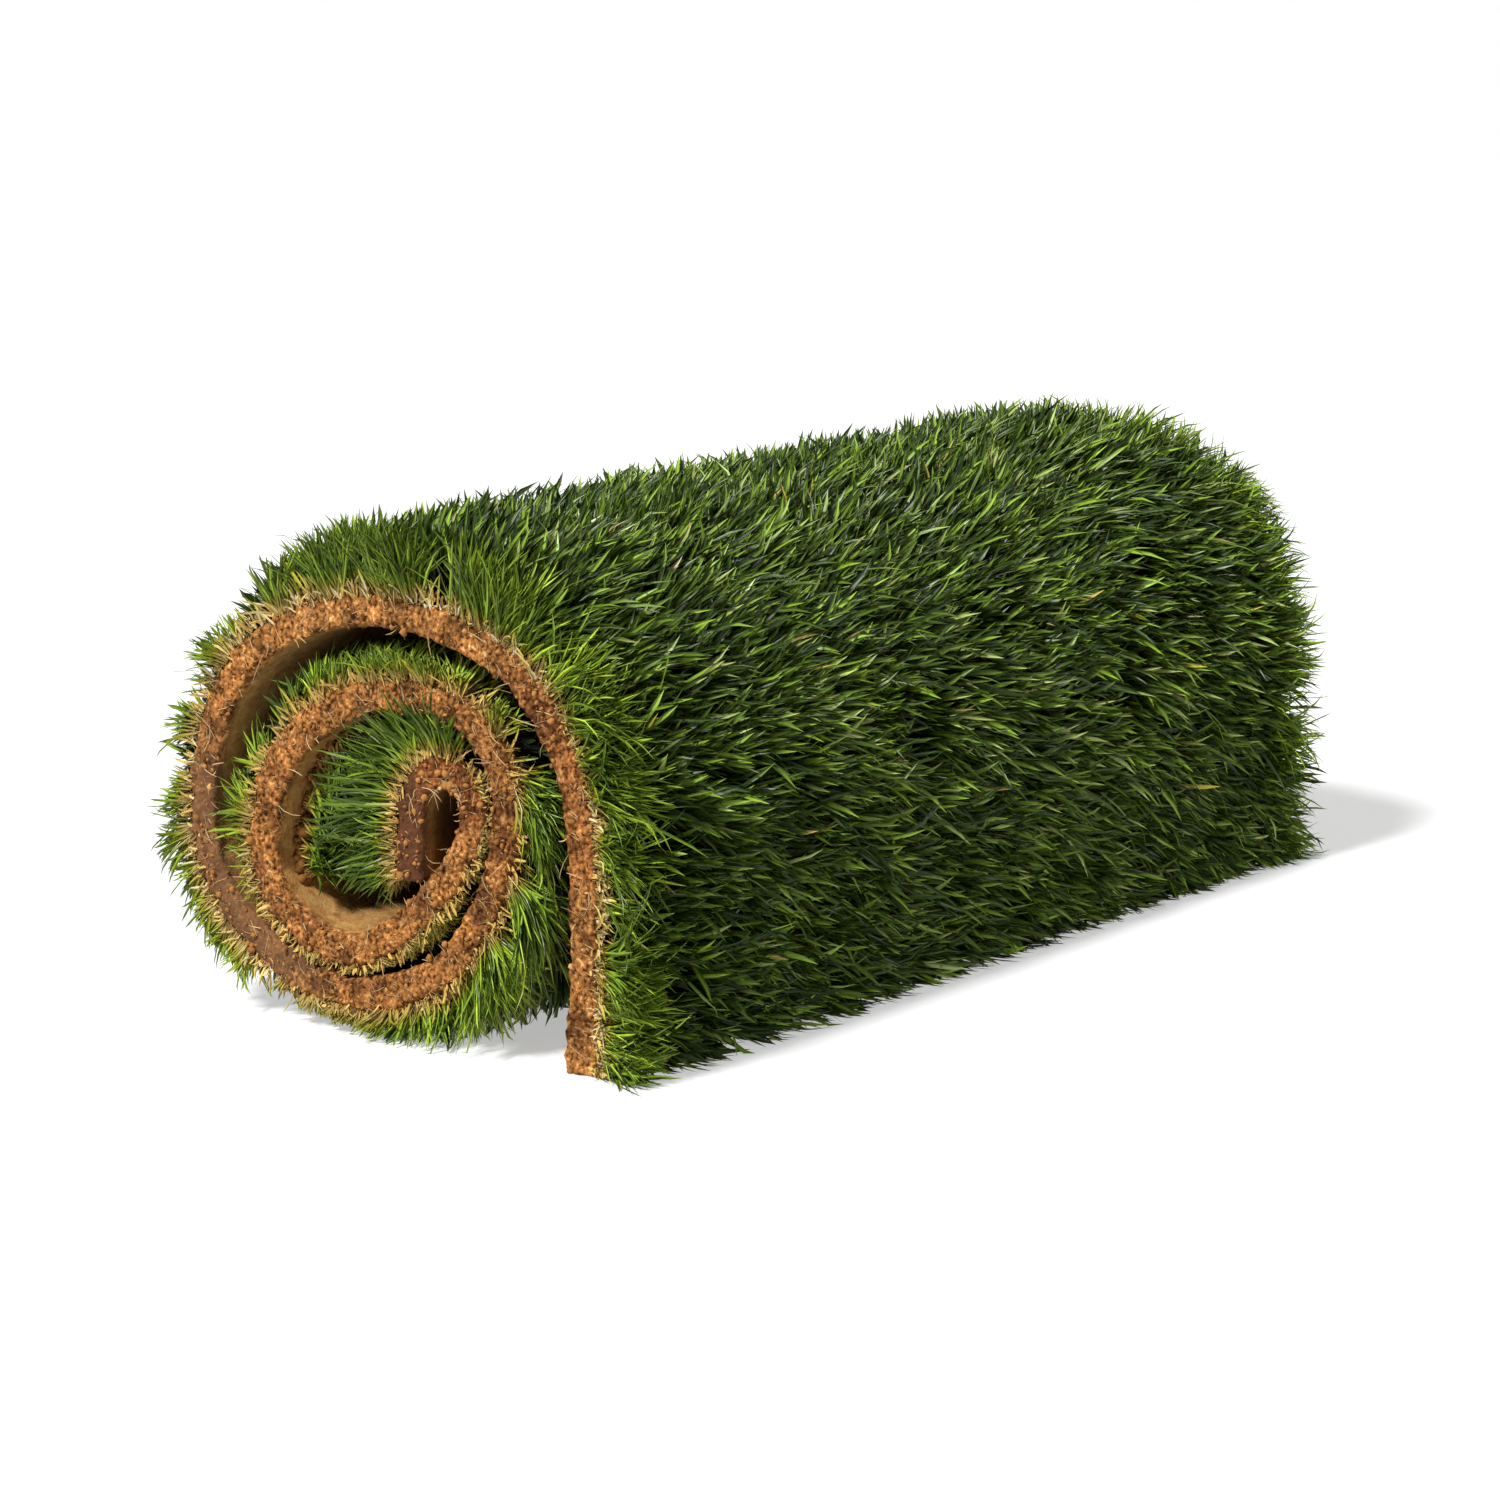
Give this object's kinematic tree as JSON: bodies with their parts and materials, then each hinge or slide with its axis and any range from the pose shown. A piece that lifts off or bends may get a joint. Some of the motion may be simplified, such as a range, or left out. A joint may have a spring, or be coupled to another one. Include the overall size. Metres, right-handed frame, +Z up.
{
  "type": "roll of turf",
  "caption": "Strip of live turf rolled up with the grass outwards, lying on its side, with a straight flap down to the floor and a hooked inner end.",
  "frame": {"origin": "middle of the bounding box, at the floor the roll lies on", "axes": "+Z up, +Y along the roll away from the end that shows the spiral in the picture, +X from the roll towards the straight flap"},
  "size_m": [0.324, 0.61, 0.2515],
  "materials": {
    "soil": "crumbly reddish-brown root-bound soil, matt",
    "grass": "dense deep green blades with straw-coloured stem bases"
  },
  "bodies": {
    "root": {"soil_mat": "soil", "grass_sward": "grass"}
  },
  "joints": []
}
